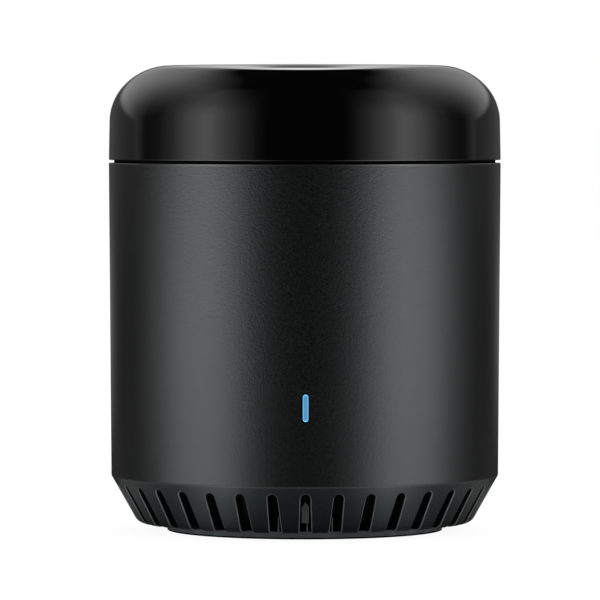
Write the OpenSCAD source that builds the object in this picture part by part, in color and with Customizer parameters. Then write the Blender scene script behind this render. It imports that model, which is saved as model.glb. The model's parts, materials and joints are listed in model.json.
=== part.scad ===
// Infrared blaster: a desk-top hub that sends remote-control codes through its cap.
// Millimetres. The origin is the centre of the foot's lower face, +Z is up and the
// front, with the status window, faces -Y. The power inlet and reset key face the rear.

/* [Outer form] */
// Height from the table to the flat top
total_h = 64; // [62:0.5:70]
// Diameter at the body's top edge
body_d = 54; // [52:0.5:60]
// Taper of the body's side from its top edge down to the seam
body_taper = 0.31; // [0:0.01:0.8]
// Height of the body's top edge
body_top_z = 50.6; // [48:0.1:52]
// Height of the seam between the body and the vent base
seam_z = 7.6; // [7.2:0.1:8.6]
// Chamfer on the outer edges of the shells
edge_break = 0.12; // [0.05:0.01:0.25]

/* [Cap] */
// Taper of the cap's side from its lower edge up to the shoulder
cap_taper = 0.1; // [0.02:0.01:0.4]
// Radius of the shoulder's lower arc
shoulder_r = 7.3; // [5:0.1:8]
// Radius of the shoulder's upper arc
crown_r = 8.6; // [6:0.1:10]
// Angle above the horizontal at which the two arcs meet
shoulder_blend = 41; // [25:1:60]
// Wall of the cap
cap_wall = 2; // [1.6:0.1:2.6]
// Height of the shadow gap under the cap
shadow_gap = 0.4; // [0.2:0.05:1]
// Depth of the shadow gap
shadow_depth = 0.72; // [0.4:0.02:1]
// Height of the body's spigot inside the cap
spigot_h = 2.5; // [2:0.1:3.5]
// Wall of the body's spigot
spigot_wall = 1.2; // [0.9:0.1:1.6]
// Gap between the spigot and the cap
spigot_fit = 0.15; // [0.1:0.01:0.25]
// Radius of the snap bead round the spigot
bead_r = 0.3; // [0.2:0.02:0.4]

/* [Body] */
// Wall of the body shell at the seam
body_wall = 2; // [1.7:0.1:2.4]
// Height of the thickened collar under the spigot
collar_h = 1.6; // [1:0.1:3]
// Thickness of the deck that carries the main board
deck_t = 1.5; // [1:0.1:2]
// Radius of the deck's open centre
deck_hole_r = 13; // [11:0.5:14]
// Width of each air window in the deck
deck_window_w = 9; // [4:0.5:10]
// Height of the screw bosses above the deck
standoff_h = 1; // [0.5:0.1:1.5]
// Radius of the circle on which the case screws and board screws stand
screw_ring_r = 15.5; // [15:0.1:16]
// Diameter of each screw boss
boss_d = 5.4; // [4.6:0.1:6]
// Diameter of the pilot bores in the bosses
pilot_d = 2; // [1.6:0.05:2.2]

/* [Vent base] */
// Angle of the base's side from the vertical
cone_angle = 29.4; // [24:0.2:32]
// Rounding along the base's lower edge
cone_round = 1.45; // [0.8:0.05:1.8]
// Thickness of the base's side, measured level
cone_wall = 2.2; // [1.8:0.1:2.8]
// Thickness of the base's floor
floor_t = 1.2; // [0.9:0.1:1.6]
// Height of the base's spigot inside the body
base_spigot_h = 2; // [1.2:0.1:2.4]
// Wall of the base's spigot
base_spigot_wall = 1.3; // [1:0.1:1.8]
// Gap between the base's spigot and the body
base_fit = 0.15; // [0.1:0.01:0.25]
// Number of vent slots
slot_count = 36; // [24:1:40]
// Height of the top of the slots
slot_top_z = 6.5; // [5:0.1:6.6]
// Width of a slot at its round top
slot_top_w = 1.36; // [1:0.02:1.5]
// Width of a slot at the underside
slot_low_w = 1.63; // [1.2:0.02:1.8]
// Radius at which the slots end inside
slot_in_r = 19.6; // [19.3:0.1:20.2]
// Width of the locating block behind the front slots
locator_w = 7.4; // [5:0.1:9]
// Height of the locating block's upper face
locator_z = 3.1; // [2.6:0.1:4]
// Height of the pointed tongue's tip on the locating block
tongue_z = 5.05; // [4.2:0.05:5.6]
// Width of the pointed tongue
tongue_w = 0.97; // [0.7:0.01:1.2]

/* [Foot] */
// Diameter of the foot pad
foot_d = 37.94; // [36:0.02:38]
// Thickness of the foot pad
foot_t = 1.07; // [0.8:0.01:1.6]
// Width of the ring groove in the pad's lower face
foot_groove_w = 1; // [0.5:0.1:2]
// Depth of the ring groove
foot_groove_t = 0.4; // [0.2:0.05:0.6]

/* [Screws] */
// Diameter of the screws' threads
screw_d = 1.9; // [1.4:0.05:1.95]
// Diameter of the screws' heads
screw_head_d = 4; // [3.4:0.1:4.4]
// Height of the screws' heads
screw_head_t = 1.2; // [0.8:0.1:1.3]
// Clearance hole of the screws
screw_hole_d = 2.4; // [2.2:0.05:2.8]
// Length of the case screws under the head
case_screw_l = 6; // [4:0.5:6.5]
// Length of the board screws under the head
board_screw_l = 5; // [3.5:0.5:5]

/* [Boards] */
// Height of the main board's upper face
board_z = 15; // [14.6:0.1:16]
// Thickness of both round boards
board_t = 1.6; // [1:0.1:1.6]
// Depth of the flat on each side of the main board
board_flat = 3; // [1.5:0.1:3.5]
// Radial room that lets the boards pass the collar
board_room = 0.35; // [0.2:0.05:0.8]
// Radius of the circle on which the infrared board's screws stand
ir_screw_ring_r = 17.5; // [16.5:0.1:18]
// Diameter of the cap's bosses for the infrared board
cap_boss_d = 4.6; // [4:0.1:5.2]

/* [Status window] */
// Height of the window's centre
window_z = 18.1; // [18:0.1:24]
// Width of the window in the body
window_w = 1.22; // [1:0.02:2]
// Height of the window in the body
window_h = 4.1; // [3:0.05:5]
// Gap between the light pipe's lens and the window's edge
window_gap = 0.15; // [0.1:0.01:0.25]
// How far the lens stands back from the body's surface
lens_back = 0.05; // [0:0.01:0.3]

/* [Power inlet] */
// Width of the inlet's metal shell
usb_w = 7.5; // [7:0.05:8]
// Height of the inlet's metal shell
usb_h = 2.5; // [2.3:0.05:2.9]
// Length of the inlet's metal shell
usb_l = 5.6; // [5:0.1:7]
// Sheet thickness of the shell
usb_sheet = 0.25; // [0.2:0.01:0.3]
// How far the inlet's mouth stands back from the body's surface
usb_back = 0.8; // [0.7:0.05:1.2]
// Gap round the inlet in the body
usb_gap = 0.3; // [0.2:0.05:0.6]

/* [Reset key] */
// Turn of the key from the rear towards the right-hand side
key_turn = 22; // [20:0.5:26]
// Diameter of the key
key_d = 2.4; // [2:0.1:3]
// Gap round the key in the body
key_gap = 0.2; // [0.15:0.01:0.3]
// How far the key's face stands back from the body's surface
key_back = 0.35; // [0.1:0.05:0.8]
// Travel of the key and the switch
key_travel = 0.25; // [0.15:0.05:0.4]
// Height of the key's axis above the main board
key_lift = 2; // [1.9:0.1:2.2]

/* [Infrared board] */
// Number of emitters round the edge
emitter_count = 6; // [3:3:6]
// Diameter of an emitter's lens
emitter_d = 5; // [4:0.1:5]
// Length of an emitter from its flange to the tip of its dome
emitter_l = 8.6; // [7.6:0.1:9]
// Room between the upright emitter and the cap
emitter_room = 0.8; // [0.5:0.1:1.5]

/* [Hidden] */
$fn = 96;

// Overrun of every cut past the faces that it goes through
over = 0.5;
// How deep a piece's own parts run into each other where they join
joined = 0.3;
// Clearance between loose inner parts
loose = 0.1;
// How far the rays of a wedge reach, as a share of the arc's radius
wedge_share = 2;
// Screws in each ring, and where the case screws and board screws start
bore_count = 3;
screw_turn = 30;

// Outer form
body_r = body_d / 2;
seam_r = body_r - body_taper;
inner_r = seam_r - body_wall;
cap_z = body_top_z + shadow_gap;
ledge_r = body_r - shadow_depth;

// Shoulder of the cap: two arcs that meet at shoulder_blend
crown_step = crown_r - shoulder_r;
arc_low_z = total_h - crown_r + crown_step * sin(shoulder_blend);
cap_draft = atan(cap_taper / (arc_low_z - cap_z));
arc_low = [body_r - cap_taper - shoulder_r * cos(cap_draft), arc_low_z];
arc_top = arc_low - crown_step * [cos(shoulder_blend), sin(shoulder_blend)];
ceiling_z = total_h - cap_wall;

// Spigots
spigot_r = body_r - cap_taper - cap_wall - spigot_fit;
spigot_in_r = spigot_r - spigot_wall;
spigot_top_z = cap_z + spigot_h;
bead_z = cap_z + spigot_h / 2;
bead_c = spigot_r - bead_r / 3;
base_spigot_r = inner_r - base_fit;
base_spigot_in_r = base_spigot_r - base_spigot_wall;
base_spigot_root_z = slot_top_z + loose;

// Boards, deck and screw bosses
board_r = spigot_in_r - board_room;
board_low_z = board_z - board_t;
deck_top_z = board_low_z - standoff_h;
deck_low_z = deck_top_z - deck_t;
floor_z = foot_t;
seat_z = floor_z + screw_head_t + loose;
seat_t = 1.3;
seat_top_z = seat_z + seat_t;
seat_rim = 1.5;
seat_d = screw_head_d + 2 * seat_rim;
head_room = 0.2;
counterbore_d = screw_head_d + 2 * head_room;
screw_point = 0.8;
recess_w = 0.6;
recess_l = 2.2;
recess_t = 0.7;

// Side of the vent base and its lower rounding
cone_tan = tan(cone_angle);
floor_top_z = floor_z + floor_t;
round_z = floor_z + cone_round;
round_c = [seam_r - (seam_z - round_z) * cone_tan - cone_round / cos(cone_angle), round_z];
round_tip = round_c + cone_round * [cos(cone_angle), -sin(cone_angle)];

// Locating block
locator_y = -slot_in_r + loose;
locator_t = 1.2;
tongue_out = 0.3;
tongue_point = 0.7;

// Light pipe
pocket_t = 0.3;
pocket_plane = inner_r + pocket_t;
pipe_margin = 0.7;
pipe_flange_t = 1;
pipe_w = window_w + 2 * pipe_margin;
pipe_low_z = board_z + joined;
pipe_top_z = window_z + window_h / 2 + pipe_margin;

// Status lamp on the board's front edge
led_w = 3;
led_t = 1.6;
led_h = 1.5;
led_lens_w = 2;
led_lens_t = 0.3;
led_y = -pocket_plane + pipe_flange_t + led_lens_t + joined;

// Power inlet
usb_z = board_z + usb_h / 2;
usb_mouth_y = body_r_at(usb_z) - usb_back;
usb_rear_y = usb_mouth_y - usb_l;
usb_corner = 0.8;
usb_window_r = 0.6;
usb_base_l = 1.6;
usb_tongue_w = 3.6;
usb_tongue_t = 0.6;
usb_tongue_l = 2.8;
usb_pin_w = 0.25;
usb_pin_t = 0.1;
usb_pin_step = 0.65;
usb_pin_count = 5;
usb_tail_l = 0.9;

// Reset key and its switch, drawn along +Y and then turned
key_z = board_z + key_lift;
key_face_y = body_r_at(key_z) - key_back;
key_rim = 0.8;
key_flange_d = key_d + 2 * key_rim;
key_flange_t = 0.6;
key_stem_d = 1.6;
key_stem_l = 1.8;
key_seat_gap = 0.05;
key_flange_y = pocket_plane - key_seat_gap;
plunger_y = key_flange_y - key_flange_t - key_stem_l;
plunger_w = 1.9;
plunger_h = 1.3;
plunger_out = 0.9;
plunger_in = 1.2;
switch_w = 6;
switch_d = 3.6;
switch_h = 3.5;
switch_y = plunger_y - plunger_out;
switch_tab = 0.5;

// Parts on the main board
wifi_w = 16;
wifi_l = 22;
wifi_t = 0.8;
// Gap between the radio board's front edge and the front screw's head
wifi_gap = 1;
wifi_y = wifi_l / 2 + wifi_gap + screw_head_d / 2 - screw_ring_r;
shield_w = 14.4;
shield_l = 14.6;
shield_h = 2.2;
shield_sheet = 0.2;
shield_round = 0.8;
cap_base_w = 6.6;
cap_base_t = 0.7;
can_d = 6.3;
can_h = 5.6;
can_round = 0.5;
can_edge = 2.3;
can_x = board_r - board_flat - can_edge - cap_base_w / 2;
can_y = -6;
regulator_w = 3.5;
regulator_l = 6.5;
regulator_h = 1.6;
pin_w = 0.6;
pin_t = 0.2;
pin_l = 1.2;
regulator_edge = 2.75;
regulator_x = -(board_r - board_flat - regulator_edge - pin_l - regulator_w / 2);
regulator_y = -8;
chip_l = 1.6;
chip_w = 0.8;
chip_h = 0.5;
chip_edge = 3.2;
chip_ring_r = board_r - chip_edge;
chip_angles = [222, 230, 238, 246, 290, 298, 306, 314];

// Ribbon cable and its two sockets
ribbon_w = 6;
ribbon_t = 0.3;
ribbon_in = 2.6;
ribbon_straight = 4;
ribbon_shift = 3.5;
// Angle by which the cable's first arc runs on into its second
ribbon_lap = 0.5;
socket_w = 9;
socket_d = 3;
socket_h = 3.8;
socket_edge = 0.6;
socket_slot_t = 0.5;
socket_slot_h = 3;
socket_lip = 0.5;
low_x = -(board_r - board_flat - socket_edge - socket_d / 2);
high_x = low_x + ribbon_shift;

// Infrared board under the cap
ir_board_z = ceiling_z - emitter_room - emitter_l;
ir_board_low_z = ir_board_z - board_t;
cap_boss_top_z = ceiling_z + joined;
flange_rim = 0.4;
flange_d = emitter_d + 2 * flange_rim;
flange_t = 1;
lead_w = 0.5;
lead_step = 2.54;
lead_back = 1.3;
emitter_z = ir_board_z + flange_d / 2 + loose;
emitter_edge = 0.8;
emitter_tip_r = board_r - emitter_edge;
receiver_w = 6;
receiver_d = 4.4;
receiver_h = 6.6;
receiver_edge = 7.2;
receiver_r = board_r - receiver_edge;
receiver_lens_r = 2;
receiver_lift = 1;
driver_w = 1.3;
driver_l = 2.9;
driver_h = 1;
driver_r = 6.2;
driver_count = 3;
resistor_r = 8.6;
ir_screw_turn = 90;

// Radius of the body's side at a height between the seam and its top edge
function body_r_at(z) = seam_r + body_taper * (z - seam_z) / (body_top_z - seam_z);

// Unit vector at an angle in the profile's plane
function ray(a) = [cos(a), sin(a)];

// Copies round the vertical axis, each at radius r
module around(count, r, start = 0) {
  for (i = [0 : count - 1])
    rotate([0, 0, start + i * 360 / count])
      translate([r, 0, 0])
        children();
}

// Block that is centred on X and Y and stands on z = 0
module block(w, d, h) {
  translate([-w / 2, -d / 2, 0])
    cube([w, d, h]);
}

// Sector of a disc between the angles a0 and a1 round the point c
module sector(c, r, a0, a1) {
  intersection() {
    translate(c)
      circle(r);
    polygon([c, c + wedge_share * r * ray(a0), c + wedge_share * r * ray(a1)]);
  }
}

// Rectangle with round corners, centred on the origin
module round_slab(w, h, r) {
  square([w - 2 * r, h], center = true);
  square([w, h - 2 * r], center = true);
  for (x = [-1, 1], y = [-1, 1])
    translate([x * (w / 2 - r), y * (h / 2 - r)])
      circle(r);
}

// Half profile of the cap at a level inset from its outer face
module crown_area(inset, drop) {
  low = arc_low + (shoulder_r - inset) * ray(cap_draft);
  mid = arc_low + (shoulder_r - inset) * ray(shoulder_blend);
  top = arc_top + (crown_r - inset) * ray(90);
  cut = inset > 0 ? 0 : edge_break;
  base = cap_z - drop;
  polygon([
    [0, base], [body_r - inset - cut, base], [body_r - inset, base + cut],
    low, mid, top, [0, top.y]
  ]);
  sector(arc_low, shoulder_r - inset, cap_draft, shoulder_blend);
  sector(arc_top, crown_r - inset, shoulder_blend, 90);
}

module top_cap() {
  color("#0b0b0d")
  difference() {
    union() {
      rotate_extrude()
        difference() {
          crown_area(0, 0);
          crown_area(cap_wall, over);
          translate([bead_c, bead_z])
            circle(bead_r + loose);
        }
      around(bore_count, ir_screw_ring_r, ir_screw_turn)
        translate([0, 0, ir_board_z])
          cylinder(d = cap_boss_d, h = cap_boss_top_z - ir_board_z);
    }
    around(bore_count, ir_screw_ring_r, ir_screw_turn)
      translate([0, 0, ir_board_z - over])
        cylinder(d = pilot_d, h = board_screw_l - board_t + 2 * over);
  }
}

// Drafted tube with the ledge of the shadow gap and the cap's spigot
module body_profile() {
  step = inner_r - spigot_in_r;
  polygon([
    [inner_r, seam_z], [seam_r - edge_break, seam_z], [seam_r, seam_z + edge_break],
    [body_r, body_top_z - edge_break], [body_r - edge_break, body_top_z],
    [ledge_r, body_top_z], [ledge_r, cap_z], [spigot_r, cap_z],
    [spigot_r, spigot_top_z], [spigot_in_r, spigot_top_z],
    [spigot_in_r, body_top_z - collar_h], [inner_r, body_top_z - collar_h - step]
  ]);
  translate([bead_c, bead_z])
    circle(bead_r);
}

// Deck with its air windows and the bosses that take screws from both sides
module body_deck() {
  difference() {
    translate([0, 0, deck_low_z])
      cylinder(r = inner_r + joined, h = deck_t);
    translate([0, 0, deck_low_z - over])
      cylinder(r = deck_hole_r, h = deck_t + 2 * over);
    translate([0, 0, deck_low_z - over])
      block(2 * (inner_r - body_wall), deck_window_w, deck_t + 2 * over);
  }
  around(bore_count, screw_ring_r, screw_turn)
    translate([0, 0, seat_top_z])
      cylinder(d = boss_d, h = board_low_z - seat_top_z);
}

module body_shell() {
  color("#2b2d30")
  difference() {
    union() {
      rotate_extrude()
        body_profile();
      body_deck();
    }
    around(bore_count, screw_ring_r, screw_turn)
      translate([0, 0, seat_top_z - over])
        cylinder(d = pilot_d, h = board_low_z - seat_top_z + 2 * over);
    window_cut();
    usb_cut();
    rotate([0, 0, -key_turn])
      key_cut();
  }
}

// Slot of the status window, and the flat seat behind it for the light pipe
module window_cut() {
  translate([0, -inner_r + body_wall, window_z])
    rotate([90, 0, 0])
      linear_extrude(2 * body_wall + over + body_taper)
        round_slab(window_w, window_h, window_w / 2 - loose / 2);
  translate([-pipe_w / 2 - loose, -pocket_plane, pipe_low_z - loose])
    cube([pipe_w + 2 * loose, body_wall, pipe_top_z - pipe_low_z + 2 * loose]);
}

module usb_cut() {
  translate([0, body_r + over, usb_z])
    rotate([90, 0, 0])
      linear_extrude(2 * body_wall + over)
        round_slab(usb_w + 2 * usb_gap, usb_h + 2 * usb_gap, usb_window_r);
}

module key_cut() {
  translate([0, inner_r - body_wall, key_z])
    rotate([-90, 0, 0])
      cylinder(d = key_d + 2 * key_gap, h = 2 * body_wall + body_taper + over);
  w = key_flange_d + 2 * key_gap;
  translate([-w / 2, pocket_plane - body_wall, key_z - w / 2])
    cube([w, body_wall, w]);
}

// Outer half profile of the vent base, up to the seam
module cone_area() {
  edge = edge_break * [sin(cone_angle), cos(cone_angle)];
  polygon([
    [0, floor_z], [round_c.x, floor_z], round_tip,
    [seam_r - edge.x, seam_z - edge.y], [seam_r - edge_break - edge.x, seam_z],
    [0, seam_z]
  ]);
  sector(round_c, cone_round, -90, -cone_angle);
}

// Hollow of the vent base
module cone_hollow() {
  low = seam_r - cone_wall - (seam_z - floor_top_z) * cone_tan;
  high = seam_r - cone_wall - (seam_z - base_spigot_root_z) * cone_tan;
  polygon([
    [0, floor_top_z], [low, floor_top_z], [high, base_spigot_root_z],
    [base_spigot_in_r, base_spigot_root_z], [base_spigot_in_r, seam_z + over],
    [0, seam_z + over]
  ]);
}

// Slot through the side and the floor's edge, round at its top, drawn facing -Y
module slot_cut() {
  top_r = slot_top_w / 2;
  tall = slot_top_z - top_r - floor_z;
  reach = seam_r - slot_in_r + over;
  spread = (slot_low_w - slot_top_w) / 2 * over / tall;
  translate([0, -slot_in_r, 0])
    rotate([90, 0, 0])
      linear_extrude(reach) {
        translate([0, slot_top_z - top_r])
          circle(top_r);
        polygon([
          [-top_r, slot_top_z - top_r], [top_r, slot_top_z - top_r],
          [slot_low_w / 2 + spread, floor_z - over], [-slot_low_w / 2 - spread, floor_z - over]
        ]);
      }
}

// Block and pointed tongue that set the body's front against the base
module locator() {
  translate([-locator_w / 2, locator_y, floor_z])
    cube([locator_w, locator_t, locator_z - floor_z]);
  translate([0, locator_y + locator_t, 0])
    rotate([90, 0, 0])
      linear_extrude(locator_t + tongue_out)
        polygon([
          [-tongue_w / 2, floor_top_z], [tongue_w / 2, floor_top_z],
          [tongue_w / 2, tongue_z - tongue_point], [0, tongue_z],
          [-tongue_w / 2, tongue_z - tongue_point]
        ]);
}

module vent_base() {
  color("#1f2022")
  difference() {
    union() {
      difference() {
        rotate_extrude() {
          difference() {
            cone_area();
            cone_hollow();
          }
          translate([base_spigot_in_r, base_spigot_root_z])
            square([base_spigot_wall, seam_z + base_spigot_h - base_spigot_root_z]);
        }
        for (i = [0 : slot_count - 1])
          rotate([0, 0, i * 360 / slot_count])
            slot_cut();
      }
      locator();
      around(bore_count, screw_ring_r, screw_turn)
        translate([0, 0, floor_z])
          cylinder(d = seat_d, h = seat_top_z - floor_z);
    }
    around(bore_count, screw_ring_r, screw_turn) {
      translate([0, 0, floor_z - over])
        cylinder(d = screw_hole_d, h = seat_top_z - floor_z + 2 * over);
      translate([0, 0, floor_z - over])
        cylinder(d = counterbore_d, h = seat_z - floor_z + over);
    }
  }
}

module foot_pad() {
  foot_r = foot_d / 2;
  groove_r = foot_r - 4 * foot_groove_w;
  color("#35373a")
  rotate_extrude()
    difference() {
      polygon([
        [0, 0], [foot_r - edge_break, 0], [foot_r, edge_break], [foot_r, foot_t],
        [0, foot_t]
      ]);
      translate([groove_r - foot_groove_w, -over])
        square([foot_groove_w, foot_groove_t + over]);
    }
}

// Lens that fills the status window, on a flange that also catches the lamp's light
module light_pipe() {
  lens_w = window_w - 2 * window_gap;
  lens_h = window_h - 2 * window_gap;
  lens_y = body_r_at(window_z) - lens_back;
  color("#5ab4ee")
  union() {
    translate([0, -pocket_plane + joined, window_z])
      rotate([90, 0, 0])
        linear_extrude(lens_y - pocket_plane + joined)
          round_slab(lens_w, lens_h, lens_w / 2 - loose / 2);
    translate([-pipe_w / 2, -pocket_plane, pipe_low_z])
      cube([pipe_w, pipe_flange_t, pipe_top_z - pipe_low_z]);
  }
}

// Cross-recessed screw with its head's seat at z = 0 and its shank along +Z
module screw(l) {
  difference() {
    union() {
      translate([0, 0, -screw_head_t])
        cylinder(d = screw_head_d, h = screw_head_t);
      translate([0, 0, -joined])
        cylinder(d = screw_d, h = l - screw_point + joined);
      translate([0, 0, l - screw_point])
        cylinder(d1 = screw_d, d2 = screw_d / 3, h = screw_point);
    }
    for (a = [0, 90])
      rotate([0, 0, a])
        translate([0, 0, -screw_head_t - over])
          block(recess_w, recess_l, recess_t + over);
  }
}

module case_screws() {
  color("#8d9095")
  around(bore_count, screw_ring_r, screw_turn)
    translate([0, 0, seat_z])
      screw(case_screw_l);
}

module board_screws() {
  color("#8d9095")
  around(bore_count, screw_ring_r, screw_turn)
    translate([0, 0, board_z])
      mirror([0, 0, 1])
        screw(board_screw_l);
}

module ir_screws() {
  color("#8d9095")
  around(bore_count, ir_screw_ring_r, ir_screw_turn)
    translate([0, 0, ir_board_low_z])
      screw(board_screw_l);
}

module main_board() {
  wide = 2 * (board_r - board_flat);
  color("#1d5a3a")
  difference() {
    intersection() {
      translate([0, 0, board_low_z])
        cylinder(r = board_r, h = board_t);
      translate([0, 0, board_low_z - over])
        block(wide, 2 * board_r, board_t + 2 * over);
    }
    around(bore_count, screw_ring_r, screw_turn)
      translate([0, 0, board_low_z - over])
        cylinder(d = screw_hole_d, h = board_t + 2 * over);
  }
}

// Mouth outline of the inlet, with its two lower corners cut off
module usb_section(inset) {
  w = usb_w / 2 - inset;
  h = usb_h / 2 - inset;
  polygon([[-w, h], [w, h], [w, -h + usb_corner], [w - usb_corner, -h], [usb_corner - w, -h], [-w, usb_corner - h]]);
}

module usb_shell() {
  color("#b9bcc0")
  translate([0, usb_mouth_y, usb_z])
    rotate([90, 0, 0])
      difference() {
        linear_extrude(usb_l)
          usb_section(0);
        translate([0, 0, -over])
          linear_extrude(usb_l + 2 * over)
            usb_section(usb_sheet);
      }
}

module usb_insulator() {
  tongue_y = usb_rear_y + usb_base_l;
  color("#17181a")
  union() {
    translate([0, tongue_y, usb_z])
      rotate([90, 0, 0])
        linear_extrude(usb_base_l)
          usb_section(usb_sheet);
    translate([-usb_tongue_w / 2, tongue_y - joined, usb_z])
      cube([usb_tongue_w, usb_tongue_l + joined, usb_tongue_t]);
  }
}

module usb_contacts() {
  tongue_y = usb_rear_y + usb_base_l;
  color("#c9a24a")
  for (i = [0 : usb_pin_count - 1])
    translate([(i - (usb_pin_count - 1) / 2) * usb_pin_step - usb_pin_w / 2, 0, 0]) {
      translate([0, tongue_y, usb_z - usb_pin_t])
        cube([usb_pin_w, usb_tongue_l - joined, usb_pin_t]);
      translate([0, usb_rear_y - usb_tail_l, board_z])
        cube([usb_pin_w, usb_tail_l, usb_pin_t]);
    }
}

module reset_key() {
  color("#1a1b1d")
  rotate([0, 0, -key_turn])
    translate([0, 0, key_z])
      rotate([-90, 0, 0])
        union() {
          translate([0, 0, key_flange_y - joined])
            cylinder(d = key_d, h = key_face_y - key_flange_y + joined);
          translate([0, 0, key_flange_y - key_flange_t])
            cylinder(d = key_flange_d, h = key_flange_t);
          translate([0, 0, plunger_y])
            cylinder(d = key_stem_d, h = key_stem_l + joined);
        }
}

module switch_plunger() {
  color("#d9d4c4")
  rotate([0, 0, -key_turn])
    translate([0, plunger_y - (plunger_out + plunger_in) / 2, key_z - plunger_h / 2])
      block(plunger_w, plunger_out + plunger_in, plunger_h);
}

module switch_housing() {
  well = plunger_in + key_travel + loose;
  color("#3a3c40")
  rotate([0, 0, -key_turn])
    difference() {
      union() {
        translate([0, switch_y - switch_d / 2, board_z])
          block(switch_w, switch_d, switch_h);
        translate([0, switch_y - switch_d / 2, board_z])
          block(switch_w + 2 * switch_tab, switch_d / 2, pin_t);
      }
      translate([0, switch_y - (well - over) / 2, key_z - plunger_h / 2 - loose])
        block(plunger_w + 2 * loose, well + over, plunger_h + 2 * loose);
    }
}

module status_led() {
  color("#e8eef2")
  union() {
    translate([0, led_y + led_t / 2, board_z])
      block(led_w, led_t, led_h);
    translate([0, led_y - led_lens_t / 2 + joined / 2, board_z + led_h / 4])
      block(led_lens_w, led_lens_t + joined, led_h / 2);
  }
}

module wifi_board() {
  color("#14324a")
  translate([0, wifi_y, board_z])
    block(wifi_w, wifi_l, wifi_t);
}

// Folded can over the radio chip, open underneath
module wifi_shield() {
  foot_z = board_z + wifi_t;
  color("#c3c6ca")
  translate([0, wifi_y - (wifi_l - shield_l) / 2 + shield_sheet, foot_z])
    difference() {
      linear_extrude(shield_h)
        round_slab(shield_w, shield_l, shield_round);
      translate([0, 0, -over])
        linear_extrude(shield_h - shield_sheet + over)
          round_slab(shield_w - 2 * shield_sheet, shield_l - 2 * shield_sheet, shield_round - shield_sheet);
    }
}

module power_capacitor() {
  color("#b4b7bb")
  translate([can_x, can_y, board_z]) {
    block(cap_base_w, cap_base_w, cap_base_t);
    rotate_extrude()
      polygon([
        [0, cap_base_t - joined], [can_d / 2, cap_base_t - joined],
        [can_d / 2, cap_base_t + can_round], [can_d / 2 - can_round / 2, cap_base_t + 2 * can_round],
        [can_d / 2, cap_base_t + 3 * can_round], [can_d / 2, cap_base_t + can_h - can_round],
        [can_d / 2 - can_round, cap_base_t + can_h], [0, cap_base_t + can_h]
      ]);
  }
}

module voltage_regulator() {
  color("#1b1c1e")
  translate([regulator_x, regulator_y, board_z])
    union() {
      translate([0, 0, pin_t / 2])
        block(regulator_w, regulator_l, regulator_h);
      block(regulator_w + 2 * pin_l, regulator_l / 2, pin_t);
      for (y = [-1, 1])
        translate([pin_l / 2 + regulator_w / 4, y * regulator_l / 3, 0])
          block(regulator_w / 2 + pin_l, pin_w, pin_t);
    }
}

module chip_passives() {
  color("#8a6f52")
  for (a = chip_angles)
    rotate([0, 0, a])
      translate([chip_ring_r, 0, board_z])
        block(chip_l, chip_w, chip_h);
}

// Upright socket with its mouth on top, standing on z = 0
module ribbon_socket() {
  difference() {
    union() {
      block(socket_d, socket_w, socket_h);
      translate([0, 0, socket_h - 2 * socket_lip])
        block(socket_d + socket_lip, socket_w - socket_d, socket_lip);
    }
    translate([0, 0, socket_h - socket_slot_h])
      block(socket_slot_t, ribbon_w + socket_slot_t, socket_slot_h + over);
  }
}

module main_ribbon_socket() {
  color("#e4ded0")
  translate([low_x, 0, board_z])
    ribbon_socket();
}

module ir_ribbon_socket() {
  color("#e4ded0")
  translate([high_x, 0, ir_board_low_z])
    mirror([0, 0, 1])
      ribbon_socket();
}

// Flat cable: straight in each socket, with an S-bend of two equal arcs between
module ribbon_cable() {
  low_z = board_z + socket_h;
  high_z = ir_board_low_z - socket_h;
  bend_low = low_z + ribbon_straight;
  bend_high = high_z - ribbon_straight;
  bend = 2 * atan((high_x - low_x) / (bend_high - bend_low));
  bend_r = (bend_high - bend_low) / (2 * sin(bend));
  color("#ece9e2")
  rotate([90, 0, 0])
    linear_extrude(ribbon_w, center = true) {
      translate([low_x - ribbon_t / 2, low_z - ribbon_in])
        square([ribbon_t, bend_low - low_z + ribbon_in]);
      translate([high_x - ribbon_t / 2, bend_high])
        square([ribbon_t, high_z - bend_high + ribbon_in]);
      ribbon_arc([low_x + bend_r, bend_low], bend_r, 180 - bend - ribbon_lap, 180);
      ribbon_arc([high_x - bend_r, bend_high], bend_r, -bend, 0);
    }
}

module ribbon_arc(c, r, a0, a1) {
  difference() {
    sector(c, r + ribbon_t / 2, a0, a1);
    translate(c)
      circle(r - ribbon_t / 2);
  }
}

module ir_board() {
  color("#1d5a3a")
  difference() {
    translate([0, 0, ir_board_low_z])
      cylinder(r = board_r, h = board_t);
    around(bore_count, ir_screw_ring_r, ir_screw_turn)
      translate([0, 0, ir_board_low_z - over])
        cylinder(d = screw_hole_d, h = board_t + 2 * over);
  }
}

// Emitter on its flange, pointing along +Z
module emitter_lens() {
  dome_z = emitter_l - emitter_d / 2;
  rotate_extrude() {
    square([flange_d / 2, flange_t]);
    square([emitter_d / 2, dome_z]);
    sector([0, dome_z], emitter_d / 2, 0, 90);
  }
}

// Emitter that lies flat with its two leads bent down to the board
module lying_emitter() {
  rotate([0, 90, 0])
    emitter_lens();
  for (y = [-1, 1])
    translate([0, y * lead_step / 2 - lead_w / 2, 0]) {
      translate([-lead_back, 0, -lead_w / 2])
        cube([lead_back + flange_t / 2, lead_w, lead_w]);
      translate([-lead_back, 0, ir_board_z - emitter_z])
        cube([lead_w, lead_w, emitter_z - ir_board_z]);
    }
}

module ring_emitters() {
  color("#26242c")
  around(emitter_count, emitter_tip_r - emitter_l)
    translate([0, 0, emitter_z])
      lying_emitter();
}

module top_emitter() {
  color("#26242c")
  translate([0, 0, ir_board_z])
    emitter_lens();
}

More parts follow.
